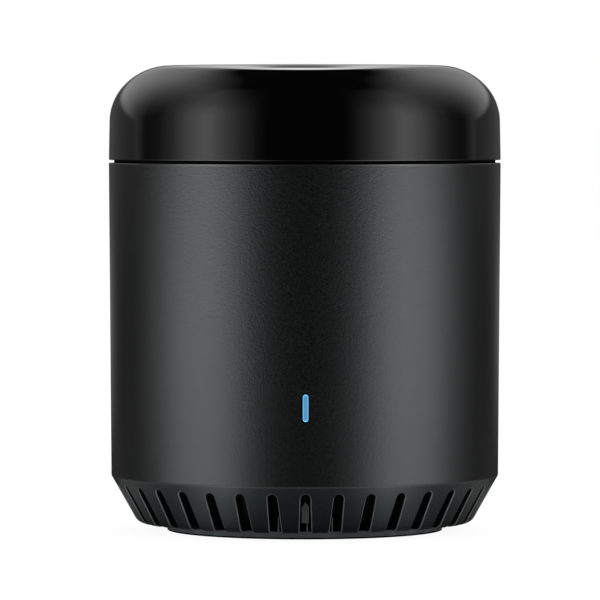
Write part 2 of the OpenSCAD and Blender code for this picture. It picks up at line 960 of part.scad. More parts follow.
module ir_receiver() {
  color("#1c1b20")
  translate([0, -receiver_r, ir_board_z])
    union() {
      translate([0, -receiver_d / 2, receiver_lift])
        block(receiver_w, receiver_d, receiver_h);
      translate([0, -receiver_d, receiver_lift + receiver_h / 2])
        intersection() {
          sphere(receiver_lens_r);
          translate([0, -receiver_lens_r / 2 + joined / 2, -receiver_lens_r])
            block(2 * receiver_lens_r, receiver_lens_r + joined, 2 * receiver_lens_r);
        }
      for (i = [-1, 0, 1])
        translate([i * lead_step - lead_w / 2, -receiver_d / 2 - lead_w / 2, 0])
          cube([lead_w, lead_w, receiver_lift + joined]);
    }
}

module driver_transistors() {
  color("#1b1c1e")
  around(driver_count, driver_r)
    translate([0, 0, ir_board_z])
      union() {
        block(driver_w, driver_l, driver_h);
        block(driver_w + 2 * pin_w, pin_w, pin_t);
      }
}

module limit_resistors() {
  color("#23252a")
  around(emitter_count, resistor_r, 180 / emitter_count)
    translate([0, 0, ir_board_z])
      block(chip_w, chip_l, chip_h);
}

top_cap();
body_shell();
vent_base();
foot_pad();
light_pipe();
case_screws();
main_board();
board_screws();
usb_shell();
usb_insulator();
usb_contacts();
reset_key();
switch_plunger();
switch_housing();
status_led();
wifi_board();
wifi_shield();
power_capacitor();
voltage_regulator();
chip_passives();
main_ribbon_socket();
ribbon_cable();
ir_ribbon_socket();
ir_board();
ir_screws();
ring_emitters();
top_emitter();
ir_receiver();
driver_transistors();
limit_resistors();
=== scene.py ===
"""Desk-top infrared hub: the dressed model and its studio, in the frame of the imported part."""
import json
import math

import bmesh
import bpy
from mathutils import Matrix, Vector


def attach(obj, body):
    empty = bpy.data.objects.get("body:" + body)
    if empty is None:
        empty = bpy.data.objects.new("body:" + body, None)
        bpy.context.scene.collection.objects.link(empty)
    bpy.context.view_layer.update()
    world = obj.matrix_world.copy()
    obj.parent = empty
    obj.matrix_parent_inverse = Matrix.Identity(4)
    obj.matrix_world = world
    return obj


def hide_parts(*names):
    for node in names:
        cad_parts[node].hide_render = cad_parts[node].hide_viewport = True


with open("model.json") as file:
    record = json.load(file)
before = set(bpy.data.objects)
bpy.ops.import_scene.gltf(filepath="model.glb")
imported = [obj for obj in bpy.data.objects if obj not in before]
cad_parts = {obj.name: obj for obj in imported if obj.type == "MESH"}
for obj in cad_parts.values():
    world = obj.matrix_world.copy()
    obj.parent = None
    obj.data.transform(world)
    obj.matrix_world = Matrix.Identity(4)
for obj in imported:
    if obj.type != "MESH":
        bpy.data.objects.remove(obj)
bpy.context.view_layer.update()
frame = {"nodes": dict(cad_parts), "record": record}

MM = 0.001
RING = 256

# Sizes in millimetres, the same as in the part's source
BODY_R = 27.0
SEAM_R = 26.69
WALL_RISE = 0.31
INNER_R = 24.69
BODY_TOP_Z = 50.6
CAP_Z = 51.0
TOP_Z = 64.0
SEAM_Z = 7.6
LEDGE_R = 26.28
SPIGOT_R = 24.75
SPIGOT_IN_R = 23.55
SPIGOT_TOP_Z = 53.5
BEAD = (24.65, 52.25)
CAP_WALL = 2.0
DRAFT = math.degrees(math.atan(0.1 / 5.2529))
ARC_LOW = (19.6013, 56.2529)
ARC_TOP = (18.6202, 55.4)
SHOULDER_R = 7.3
CROWN_R = 8.6
BLEND = 41.0
DECK_LOW_Z = 10.9
DECK_T = 1.5
DECK_HOLE_R = 13.0
DECK_WINDOW_W = 9.0
BOARD_LOW_Z = 13.4
IR_BOARD_Z = 52.6
SCREW_R = 15.5
IR_SCREW_R = 17.5
SCREW_TURNS = (30, 150, 270)
SCREW_SEAT_R = 3.5
SCREW_HOLE_R = 1.2
COUNTERBORE_R = 2.2
IR_SCREW_TURNS = (90, 210, 330)
BOSS_D = 5.4
CAP_BOSS_D = 4.6
PILOT_D = 2.0
FLOOR_Z = 1.07
FLOOR_TOP_Z = 2.27
SEAT_TOP_Z = 3.67
SEAT_Z = 2.37
CONE_TILT = 29.4
CONE_ANGLE = math.radians(CONE_TILT)
CONE_ROUND = 1.45
CONE_WALL = 2.2
ROUND_C = (22.1636, 2.52)
BASE_SPIGOT_R = 24.54
BASE_SPIGOT_IN_R = 23.24
BASE_ROOT_Z = 6.6
BASE_SPIGOT_TOP_Z = 9.6
SLOT_COUNT = 36
SLOT_TOP_Z = 6.5
SLOT_TOP_R = 0.68
SLOT_LOW_R = 0.815
SLOT_IN_R = 19.6
LOCATOR = (7.4, 19.5, 1.2, 3.1)
TONGUE = (0.97, 5.05, 0.7, 0.3)
FOOT_R = 18.97
FOOT_T = 1.07
GROOVE = (13.97, 14.97, 0.4)
WINDOW_Z = 18.1
WINDOW = (1.22, 4.1)
LENS = (0.92, 3.8)
POCKET_Y = 24.99
PIPE = (2.62, 15.3, 20.85, 1.0)
USB_Z = 16.25
USB_MOUTH_Y = 25.95
USB = (7.5, 2.5, 5.6, 0.25, 0.8)
KEY_TURN = 22.0
KEY_Z = 17.0
KEY = (1.2, 2.0, 0.8)
KEY_FACE_Y = 26.41
KEY_FLANGE_Y = 24.94
PLUNGER_Y = 22.54

# The scene's own sizes: the shade screen (a dark sheet standing in for shade inside the base), the
# rib's thin ridges and the dark line round the lens
SCREEN_OUT_R = 19.35
SCREEN_WALL = 0.3
SCREEN_GAP = 3.8
RIDGE_HALF = 0.07
RIDGE_OUT = 0.25
LENS_GAP = 0.04

# Heights in millimetres of the bands along edges that take a finish of their own: a painted
# highlight at the rim and the seam, painted shade at the foot
RIM_BAND = 0.22
SEAM_BAND = 0.25
FOOT_BAND = 0.23

# Where the wall's surface is at the inlet and at the key
MOUTH_Y = 26.75
KEY_HOLE_Y = 26.76


# Outlines

def wall_r(z):
    """Radius of the body's tapered outer wall."""
    return SEAM_R + WALL_RISE * (z - SEAM_Z) / (BODY_TOP_Z - SEAM_Z)


def arc(c, r, a0, a1, n):
    """Points on an arc, angles in degrees."""
    turns = [math.radians(a0 + (a1 - a0) * i / n) for i in range(n + 1)]
    return [(c[0] + r * math.cos(a), c[1] + r * math.sin(a)) for a in turns]


def rounded(points, n=4):
    """Closed outline from (x, y, radius) corners, each corner turned into an arc."""
    out = []
    count = len(points)
    for i, (x, y, r) in enumerate(points):
        here = Vector((x, y))
        if r <= 0:
            out.append((x, y))
            continue
        before = Vector(points[i - 1][:2]) - here
        after = Vector(points[(i + 1) % count][:2]) - here
        before.normalize()
        after.normalize()
        half = before.angle(after) / 2
        centre = here + (before + after).normalized() * r / math.sin(half)
        start = here + before * r / math.tan(half) - centre
        end = here + after * r / math.tan(half) - centre
        a0 = math.atan2(start.y, start.x)
        turn = math.atan2(end.y, end.x) - a0
        turn = (turn + math.pi) % (2 * math.pi) - math.pi
        for k in range(n + 1):
            a = a0 + turn * k / n
            out.append((centre.x + r * math.cos(a), centre.y + r * math.sin(a)))
    return out


def slab(w, h, r, n=6):
    """Rectangle with round corners, centred on the origin."""
    x, y = w / 2, h / 2
    return rounded([(-x, -y, r), (x, -y, r), (x, y, r), (-x, y, r)], n)


# Mesh helpers

def piece(name, verts, faces):
    mesh = bpy.data.meshes.new(name)
    mesh.from_pydata([[c * MM for c in v] for v in verts], [], faces)
    bm = bmesh.new()
    bm.from_mesh(mesh)
    bmesh.ops.remove_doubles(bm, verts=bm.verts, dist=1e-8)
    bmesh.ops.recalc_face_normals(bm, faces=bm.faces)
    bm.to_mesh(mesh)
    bm.free()
    obj = bpy.data.objects.new(name, mesh)
    bpy.context.scene.collection.objects.link(obj)
    return obj


def revolve(name, outline, n=RING):
    """Solid of revolution from a closed outline of (radius, z) points."""
    verts, rings, faces = [], [], []
    for r, z in outline:
        start = len(verts)
        if r < 1e-6:
            verts.append((0, 0, z))
            rings.append([start] * n)
            continue
        for k in range(n):
            a = 2 * math.pi * k / n
            verts.append((r * math.cos(a), r * math.sin(a), z))
        rings.append(list(range(start, start + n)))
    for i, ring in enumerate(rings):
        up = rings[(i + 1) % len(rings)]
        for k in range(n):
            m = (k + 1) % n
            face = list(dict.fromkeys((ring[k], ring[m], up[m], up[k])))
            if len(face) > 2:
                faces.append(face)
    return piece(name, verts, faces)


def prism(name, outline, y0, y1):
    """Solid that carries an outline in X and Z along Y."""
    n = len(outline)
    verts = [(x, y, z) for y in (y0, y1) for x, z in outline]
    faces = [list(range(n)), list(range(n, 2 * n))[::-1]]
    faces += [[k, (k + 1) % n, n + (k + 1) % n, n + k] for k in range(n)]
    return piece(name, verts, faces)


def loft(name, loops):
    """Closed solid through loops of points, all with the same count."""
    n = len(loops[0])
    verts = [p for loop in loops for p in loop]
    faces = [list(range(n)), list(range(len(verts) - n, len(verts)))]
    for i in range(len(loops) - 1):
        for k in range(n):
            m = (k + 1) % n
            faces.append([i * n + k, i * n + m, (i + 1) * n + m, (i + 1) * n + k])
    return piece(name, verts, faces)


def block(name, low, high):
    (x0, y0, z0), (x1, y1, z1) = low, high
    return prism(name, [(x0, z0), (x1, z0), (x1, z1), (x0, z1)], y0, y1)


def tube(name, r, z0, z1, hole=0.0, n=48):
    if hole <= 0:
        return revolve(name, [(0, z0), (r, z0), (r, z1), (0, z1)], n)
    return revolve(name, [(hole, z0), (r, z0), (r, z1), (hole, z1)], n)


def moved(obj, matrix):
    obj.data.transform(matrix)
    return obj


def shift(x, y, z):
    return Matrix.Translation((x * MM, y * MM, z * MM))


def turn(degrees, axis="Z"):
    return Matrix.Rotation(math.radians(degrees), 4, axis)


def around(radius, turns):
    """Matrices that carry a part from the axis to places on a circle."""
    return [turn(a) @ shift(radius, 0, 0) for a in turns]


def copies(obj, matrices):
    """One mesh that holds a copy of obj at each matrix."""
    bm = bmesh.new()
    for m in matrices:
        mesh = obj.data.copy()
        mesh.transform(m)
        bm.from_mesh(mesh)
        bpy.data.meshes.remove(mesh)
    bm.to_mesh(obj.data)
    bm.free()
    return obj


def boolean(obj, tool, kind="DIFFERENCE"):
    mod = obj.modifiers.new("shape", "BOOLEAN")
    mod.operation = kind
    mod.solver = "EXACT"
    mod.object = tool
    bake(obj)
    bpy.data.objects.remove(tool)


def bake(obj):
    graph = bpy.context.evaluated_depsgraph_get()
    mesh = bpy.data.meshes.new_from_object(obj.evaluated_get(graph))
    obj.modifiers.clear()
    old = obj.data
    obj.data = mesh
    bpy.data.meshes.remove(old)


def finish_shading(obj, angle=32):
    """Smooth shading that keeps large faces true beside small roundings."""
    obj.data.shade_smooth()
    obj.data.set_sharp_from_angle(angle=math.radians(angle))
    mod = obj.modifiers.new("weighted", "WEIGHTED_NORMAL")
    mod.mode = "FACE_AREA"
    mod.weight = 100
    mod.keep_sharp = True
    bake(obj)


def dress(obj, body, slot, material, *nodes, edges=()):
    """Final shading, material and body of a piece; slot is not used.

    edges are (finish, test); a test gets a face's centre in millimetres and its normal.
    """
    finish_shading(obj)
    obj.data.materials.clear()
    obj.data.materials.append(material)
    for i, (other, test) in enumerate(edges):
        obj.data.materials.append(other)
        for poly in obj.data.polygons:
            if test(poly.center / MM, poly.normal):
                poly.material_index = i + 1
    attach(obj, body)
    if nodes:
        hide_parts(*nodes)


# Materials

def new_material(name):
    mat = bpy.data.materials.new(name)
    mat.use_nodes = True
    tree = mat.node_tree
    return mat, tree, tree.nodes["Principled BSDF"]


def noise(tree, scale, detail=3.0, rough=0.5):
    """Noise in object space; scale is in grains per metre."""
    where = tree.nodes.new("ShaderNodeTexCoord")
    tex = tree.nodes.new("ShaderNodeTexNoise")
    tex.inputs["Scale"].default_value = scale
    tex.inputs["Detail"].default_value = detail
    tex.inputs["Roughness"].default_value = rough
    tree.links.new(where.outputs["Object"], tex.inputs["Vector"])
    return tex.outputs["Fac"]


def spread(tree, fac, low, high, a=0.3, b=0.7):
    """Factor from a to b turned into low to high, and held beyond them."""
    node = tree.nodes.new("ShaderNodeMapRange")
    for key, value in (("From Min", a), ("From Max", b), ("To Min", low), ("To Max", high)):
        node.inputs[key].default_value = value
    tree.links.new(fac, node.inputs["Value"])
    return node.outputs["Result"]


def tinted(tree, fac, dark, light):
    mix = tree.nodes.new("ShaderNodeMix")
    mix.data_type = "RGBA"
    mix.inputs["A"].default_value = (*dark, 1)
    mix.inputs["B"].default_value = (*light, 1)
    tree.links.new(fac, mix.inputs["Factor"])
    return mix.outputs["Result"]


def finish(name, color, rough=(0.35, 0.45), vary=0.12, grain=9000, tone=260, bump=0.05,
           depth=0.00002, metallic=0.0, ior=1.5, speck=0.0, tint=(1, 1, 1)):
    """Moulded or plated finish, or painted light or shade: a slow colour drift over a fine grain.

    With speck, the colour follows the grain and not the drift.
    """
    mat, tree, bsdf = new_material(name)
    drift = noise(tree, tone)
    fine = noise(tree, grain, 2.0)
    vary = max(vary, speck)
    dark = [c * (1 - vary) for c in color]
    light = [c * (1 + vary) for c in color]
    shade = spread(tree, fine if speck > 0 else drift, 0, 1)
    tree.links.new(tinted(tree, shade, dark, light), bsdf.inputs["Base Color"])
    tree.links.new(spread(tree, fine, *rough), bsdf.inputs["Roughness"])
    bsdf.inputs["Metallic"].default_value = metallic
    bsdf.inputs["IOR"].default_value = ior
    bsdf.inputs["Specular Tint"].default_value = (*tint, 1)
    if bump > 0:
        node = tree.nodes.new("ShaderNodeBump")
        node.inputs["Strength"].default_value = bump
        node.inputs["Distance"].default_value = depth
        tree.links.new(fine, node.inputs["Height"])
        tree.links.new(node.outputs["Normal"], bsdf.inputs["Normal"])
    return mat


CAP = finish("cap_gloss", (0.0009, 0.0009, 0.001), (0.02, 0.035), 0.1, 16000, 120, 0.01)
BODY = finish("body_matte", (0.0036, 0.0036, 0.0036), (0.2, 0.24), 0.08, 4200, 150, 0.5,
              0.00004, speck=0.9, tint=(0.93, 0.975, 1.0))
BASE = finish("base_plastic", (0.0043, 0.005, 0.0057), (0.22, 0.28), 0.08, 7000, 150, 0.04,
              0.00001, speck=0.3, tint=(0.85, 0.96, 1.0))
FOOT = finish("foot_rubber", (0.212, 0.235, 0.247), (0.6, 0.75), 0.15, 5000, 200, 0.3,
              0.00004)
# Lighter band under the seam: a painted highlight
SEAM_HIGHLIGHT = finish("painted_seam_highlight", (0.02, 0.0203, 0.021), (0.22, 0.3), 0.2, 7000, 600, 0.05,
              0.00001)
# Light grey round the slots' broken edges: a painted highlight
LIP_HIGHLIGHT = finish("painted_lip_highlight", (0.13, 0.134, 0.138), (0.25, 0.35), 0.2, 7000, 600, 0.05,
             0.00001)
# Lighter band with a raised IOR along the body's top edge: a painted highlight
RIM_HIGHLIGHT = finish("painted_rim_highlight", (0.006, 0.006, 0.0062), (0.2, 0.26), 0.2, 7000, 600, 0.03,
             0.00001, ior=1.92)
# Near-black finish with little gloss: painted shade in the shadow gap, the window's well, the
# slots' inner ends, the rib's block, the lens's flange and the foot's lower band
PAINTED_SHADE = finish("painted_shade", (0.0006, 0.0006, 0.0006), (0.75, 0.9), 0.2, 7000, 400, 0.1,
             0.00001, ior=1.15)
# Near-black sheet behind the slots, standing in for the shade inside the base
SHADE_SCREEN = finish("painted_shade_screen", (0.0008, 0.0008, 0.0008), (0.7, 0.85), 0.2, 6000, 400, 0.2,
                0.00003)
# Light grey on the locating rib: painted light, standing in for the light it gets inside the slots
RIB_PAINTED_LIGHT = finish("locator_painted_light", (0.34, 0.34, 0.345), (0.4, 0.5), 0.1, 7000, 150, 0.1,
             0.00002)
KEYCAP = finish("key_plastic", (0.01, 0.01, 0.011), (0.3, 0.4), 0.1, 7000, 150, 0.12,
                0.00002)
STEEL = finish("inlet_steel", (0.62, 0.63, 0.65), (0.18, 0.32), 0.06, 4000, 400, 0.06,
               0.00001, metallic=1)


def math_node(tree, kind, a, b=None):
    node = tree.nodes.new("ShaderNodeMath")
    node.operation = kind
    for socket, value in zip(node.inputs, (a, b)):
        if isinstance(value, (int, float)):
            socket.default_value = value
        elif value is not None:
            tree.links.new(value, socket)
    return node.outputs[0]


# Distances in metres from the lens's middle line over which its light changes
LENS_RIM = (0.00016, 0.00036)
LENS_BORDER = (0.00039, 0.00044)
LENS_ENDS = (0.00008, 0.0003)


def pipe_material():
    """Frosted lens, lit from behind: a calm middle, a brighter rim and ends, a dark border of
    painted shade.
    """
    mat, tree, bsdf = new_material("pipe_lens")
    where = tree.nodes.new("ShaderNodeTexCoord")
    split = tree.nodes.new("ShaderNodeSeparateXYZ")
    tree.links.new(where.outputs["Object"], split.inputs[0])
    off = math_node(tree, "SUBTRACT", split.outputs["Z"], WINDOW_Z * MM)
    up = math_node(tree, "ABSOLUTE", off)
    beyond = math_node(tree, "SUBTRACT", up, (LENS[1] - LENS[0]) / 2 * MM)
    past = math_node(tree, "MAXIMUM", beyond, 0.0)
    square = math_node(tree, "ADD", math_node(tree, "POWER", split.outputs["X"], 2.0),
                       math_node(tree, "POWER", past, 2.0))
    reach = math_node(tree, "SQRT", square)
    rim = spread(tree, reach, 0, 1, *LENS_RIM)
    fine = spread(tree, noise(tree, 6000), 0.95, 1.05)
    lit = spread(tree, reach, 1, 0, *LENS_BORDER)
    glow = tinted(tree, rim, (0.072, 0.24, 0.45), (0.125, 0.5, 0.93))
    # The base colour falls to near black at the border: painted shade
    base = tinted(tree, lit, (0.0006, 0.0006, 0.0006), (0.02, 0.05, 0.08))
    tree.links.new(base, bsdf.inputs["Base Color"])
    tree.links.new(glow, bsdf.inputs["Emission Color"])
    ends = math_node(tree, "MULTIPLY", fine, spread(tree, past, 1, 1.5, *LENS_ENDS))
    tree.links.new(math_node(tree, "MULTIPLY", lit, ends), bsdf.inputs["Emission Strength"])
    tree.links.new(spread(tree, noise(tree, 8000), 0.25, 0.4), bsdf.inputs["Roughness"])
    return mat


PIPE_LENS = pipe_material()

INNER = {
    "screw_steel": finish("screw_steel", (0.5, 0.5, 0.52), (0.2, 0.4), 0.08, 5000, 500, 0.08,
                          metallic=1),
    "board_green": finish("board_green", (0.02, 0.12, 0.05), (0.25, 0.4), 0.2, 3000, 700, 0.1),
    "board_blue": finish("board_blue", (0.015, 0.05, 0.12), (0.25, 0.4), 0.2, 3000, 700, 0.1),
    "inlet_steel": STEEL,
    "inlet_plastic": finish("inlet_plastic", (0.02, 0.02, 0.022), (0.4, 0.55), 0.1, 7000, 300,
                            0.12),
    "contact_brass": finish("contact_brass", (0.8, 0.6, 0.25), (0.15, 0.3), 0.06, 6000, 500,
                            0.05, metallic=1),
    "plunger_plastic": finish("plunger_plastic", (0.7, 0.66, 0.56), (0.35, 0.5), 0.05, 7000,
                              300, 0.08),
    "led_white": finish("led_white", (0.8, 0.82, 0.85), (0.2, 0.35), 0.04, 7000, 300, 0.05),
    "can_aluminium": finish("can_aluminium", (0.7, 0.7, 0.72), (0.2, 0.35), 0.05, 6000, 500,
                            0.06, metallic=1),
    "chip_black": finish("chip_black", (0.02, 0.02, 0.02), (0.45, 0.6), 0.15, 9000, 400, 0.15),
    "chip_ceramic": finish("chip_ceramic", (0.3, 0.2, 0.12), (0.4, 0.6), 0.1, 9000, 400, 0.1),
    "socket_cream": finish("socket_cream", (0.75, 0.7, 0.6), (0.4, 0.5), 0.05, 7000, 300, 0.08),
    "ribbon_white": finish("ribbon_white", (0.8, 0.79, 0.75), (0.3, 0.4), 0.05, 3000, 300,
                           0.05),
    "emitter_smoke": finish("emitter_smoke", (0.02, 0.018, 0.03), (0.08, 0.15), 0.1, 5000, 300,
                            0.02),
}


# Cap

def make_cap():
    edge = 0.14
    low = arc(ARC_LOW, SHOULDER_R, DRAFT, BLEND, 28)
    top = arc(ARC_TOP, CROWN_R, BLEND, 90, 36)[1:]
    in_low = arc(ARC_LOW, SHOULDER_R - CAP_WALL, DRAFT, BLEND, 12)
    in_top = arc(ARC_TOP, CROWN_R - CAP_WALL, BLEND, 90, 14)[1:]
    bead = arc(BEAD, 0.4, -28, 28, 6)
    rim = arc((BODY_R - edge, CAP_Z + edge), edge, -90, 0, 5)
    outline = [(0, TOP_Z)] + (rim + low + top)[::-1]
    outline += [(BODY_R - CAP_WALL, CAP_Z)] + bead + in_low + in_top + [(0, TOP_Z - CAP_WALL)]
    cap = revolve("cap_shell", outline)
    bosses = tube("bosses", CAP_BOSS_D / 2, IR_BOARD_Z, TOP_Z - CAP_WALL + 0.3)
    boolean(cap, copies(bosses, around(IR_SCREW_R, IR_SCREW_TURNS)), "UNION")
    bores = tube("bores", PILOT_D / 2, IR_BOARD_Z - 0.5, IR_BOARD_Z + 3.9)
    boolean(cap, copies(bores, around(IR_SCREW_R, IR_SCREW_TURNS)))
    dress(cap, "housing", "cap_gloss", CAP, "top_cap")


# Body

def flare(outline_of, stations, back):
    """Loops of points for a loft with a broken outer edge; stations are (offset, distance)."""
    return [[(x, back + d, z) for x, z in outline_of(o)] for o, d in stations]


def make_body():
    edge = 0.05
    step = INNER_R - SPIGOT_IN_R
    corners = [
        (INNER_R, SEAM_Z, 0), (SEAM_R, SEAM_Z, 0.03), (BODY_R, BODY_TOP_Z - RIM_BAND, 0),
        (BODY_R, BODY_TOP_Z, edge),
        (LEDGE_R, BODY_TOP_Z, 0.08), (LEDGE_R, CAP_Z, 0), (SPIGOT_R, CAP_Z, 0),
    ]
    bead = arc(BEAD, 0.3, -70, 70, 8)
    outline = rounded(corners) + bead + rounded([
        (SPIGOT_R, SPIGOT_TOP_Z, 0), (SPIGOT_IN_R, SPIGOT_TOP_Z, 0),
        (SPIGOT_IN_R, BODY_TOP_Z - 1.6, 0), (INNER_R, BODY_TOP_Z - 1.6 - step, 0),
    ])
    body = revolve("body_tube", outline)
    deck = tube("deck", INNER_R + 0.3, DECK_LOW_Z, DECK_LOW_Z + DECK_T, DECK_HOLE_R, 128)
    air = 2 * (INNER_R - 2.0)
    boolean(deck, block("air", (-air / 2, -DECK_WINDOW_W / 2, DECK_LOW_Z - 0.5),
                        (air / 2, DECK_WINDOW_W / 2, DECK_LOW_Z + DECK_T + 0.5)))
    bosses = tube("bosses", BOSS_D / 2, SEAT_TOP_Z, BOARD_LOW_Z)
    boolean(deck, copies(bosses, around(SCREW_R, SCREW_TURNS)), "UNION")
    bores = tube("bores", PILOT_D / 2, SEAT_TOP_Z - 0.5, BOARD_LOW_Z + 0.5)
    boolean(deck, copies(bores, around(SCREW_R, SCREW_TURNS)))
    boolean(body, deck, "UNION")

    # Status window with its broken edge, and the light pipe's seat behind it
    w, h = WINDOW
    front = -wall_r(WINDOW_Z)
    def window(o):
        return [(x, z + WINDOW_Z) for x, z in slab(w + 2 * o, h + 2 * o, w / 2 + o - 0.02, 8)]
    stations = [(0.35, -0.3), (0.05, 0.0), (0.0, 0.06), (0.0, 4.0)]
    boolean(body, loft("window", flare(window, stations, front)))
    boolean(body, block("seat", (-PIPE[0] / 2 - 0.1, -POCKET_Y, PIPE[1] - 0.1),
                        (PIPE[0] / 2 + 0.1, -POCKET_Y + 2.0, PIPE[2] + 0.1)))

    # Power inlet's opening
    def mouth(o):
        wide, high = USB[0] + 0.6 + 2 * o, USB[1] + 0.6 + 2 * o
        return [(x, z + USB_Z) for x, z in slab(wide, high, 0.6 + o, 8)]
    stations = [(0.9, 0.75), (0.15, 0.0), (0.0, -0.15), (0.0, -5.0)]
    boolean(body, loft("mouth", flare(mouth, stations, MOUTH_Y)))

    # Reset key's hole and the flat seat of its flange
    def bore(o):
        return arc((0, KEY_Z), KEY[0] + 0.2 + o, 0, 360, 40)[:-1]
    stations = [(0.7, 0.6), (0.1, 0.0), (0.0, -0.1), (0.0, -4.0)]
    boolean(body, moved(loft("bore", flare(bore, stations, KEY_HOLE_Y)), turn(-KEY_TURN)))
    half = KEY[1] + 0.2
    seat = block("seat", (-half, POCKET_Y - 2.0, KEY_Z - half), (half, POCKET_Y, KEY_Z + half))
    boolean(body, moved(seat, turn(-KEY_TURN)))

    # Ledge of the shadow gap and the window's sides in painted shade, rounded top edge and the
    # band under it in a painted highlight
    gap = (PAINTED_SHADE, lambda c, n: (c.z > BODY_TOP_Z - 0.02
                              and LEDGE_R - 0.1 < c.xy.length < BODY_R - edge))
    rim = (RIM_HIGHLIGHT, lambda c, n: (c.xy.length > BODY_R - edge - 0.01
                              and c.z > BODY_TOP_Z - RIM_BAND - 0.01))
    well = (PAINTED_SHADE, lambda c, n: (abs(c.x) < 1 and c.y < 0 and abs(c.z - WINDOW_Z) < 2.2
                               and abs(n.y) < 0.5))
    dress(body, "housing", "body_matte", BODY, "body_shell", edges=(gap, rim, well))


# Vent base

def cone_stations():
    """Points (r, z) and normals down the outer side, from a slot's shoulder to its inner end."""
    n_side = (math.cos(CONE_ANGLE), -math.sin(CONE_ANGLE))
    slope = math.tan(CONE_ANGLE)
    z_top = SLOT_TOP_Z - SLOT_TOP_R
    z_low = ROUND_C[1] - CONE_ROUND * math.sin(CONE_ANGLE)
    out = []
    for i in range(7):
        z = z_top + (z_low - z_top) * i / 7
        out.append(((SEAM_R - (SEAM_Z - z) * slope, z), n_side))
    for i in range(9):
        a = -CONE_ANGLE + (-math.pi / 2 + CONE_ANGLE) * i / 8
        n = (math.cos(a), math.sin(a))
        out.append(((ROUND_C[0] + CONE_ROUND * n[0], ROUND_C[1] + CONE_ROUND * n[1]), n))
    out.append(((SLOT_IN_R, FLOOR_Z), (0.0, -1.0)))
    return out


def slot_half(z):
    top = SLOT_TOP_Z - SLOT_TOP_R
    return SLOT_TOP_R + (SLOT_LOW_R - SLOT_TOP_R) * (top - z) / (top - FLOOR_Z)


def slot_flare():
    """Cutter that breaks the outer edge of one slot, drawn facing -Y."""
    n_side = (math.cos(CONE_ANGLE), -math.sin(CONE_ANGLE))
    z_c = SLOT_TOP_Z - SLOT_TOP_R
    grids = []
    for offset, lift in ((0.42, 0.3), (0.12, 0.0), (0.0, -0.12), (-0.03, -0.3)):
        rows = []
        for i in range(8):
            a = math.radians(84 - 12 * i)
            z = z_c + (SLOT_TOP_R + offset) * math.sin(a)
            rows.append(((SEAM_R - (SEAM_Z - z) * math.tan(CONE_ANGLE), z), n_side,
                         (SLOT_TOP_R + offset) * math.cos(a)))
        stations = cone_stations()
        for (r, z), n in stations[:-1]:
            rows.append(((r, z), n, slot_half(z) + offset))
        (r, z), n = stations[-1]
        rows.append(((r - offset, z), n, slot_half(z) + offset))
        grid = []
        for (r, z), n, half in rows:
            r, z = r + n[0] * lift, z + n[1] * lift
            y = -math.sqrt(r * r - half * half)
            grid.append(((-half, y, z), (half, y, z)))
        grids.append(grid)
    verts, faces = [], []
    count = len(grids[0])
    for grid in grids:
        for pair in grid:
            verts.extend(pair)
    def at(g, i, side):
        return 2 * (g * count + i) + side
    for i in range(count - 1):
        for g in (0, len(grids) - 1):
            faces.append([at(g, i, 0), at(g, i, 1), at(g, i + 1, 1), at(g, i + 1, 0)])
        for g in range(len(grids) - 1):
            for s in (0, 1):
                faces.append([at(g, i, s), at(g, i + 1, s), at(g + 1, i + 1, s), at(g + 1, i, s)])
    for g in range(len(grids) - 1):
        for i in (0, count - 1):
            faces.append([at(g, i, 0), at(g, i, 1), at(g + 1, i, 1), at(g + 1, i, 0)])
    return piece("slot_flare", verts, faces)


def on_slot_lip(c, _normal):
    """True on the broken edge round a slot."""
    r = c.xy.length
    if r < SLOT_IN_R + 0.2 or c.z > SLOT_TOP_Z + 0.2:
        return False
    pitch = 2 * math.pi / SLOT_COUNT
    a = math.atan2(c.x, -c.y)
    side = abs(r * math.sin(a - pitch * round(a / pitch)))
    z_c = SLOT_TOP_Z - SLOT_TOP_R
    if c.z > z_c:
        past = math.hypot(side, c.z - z_c) - SLOT_TOP_R
    else:
        past = side - slot_half(c.z)
    skin = SEAM_R - (SEAM_Z - c.z) * math.tan(CONE_ANGLE) - r
    return 0.01 < past < 0.115 and (0.005 < skin < 0.2 or c.z < 3.2)


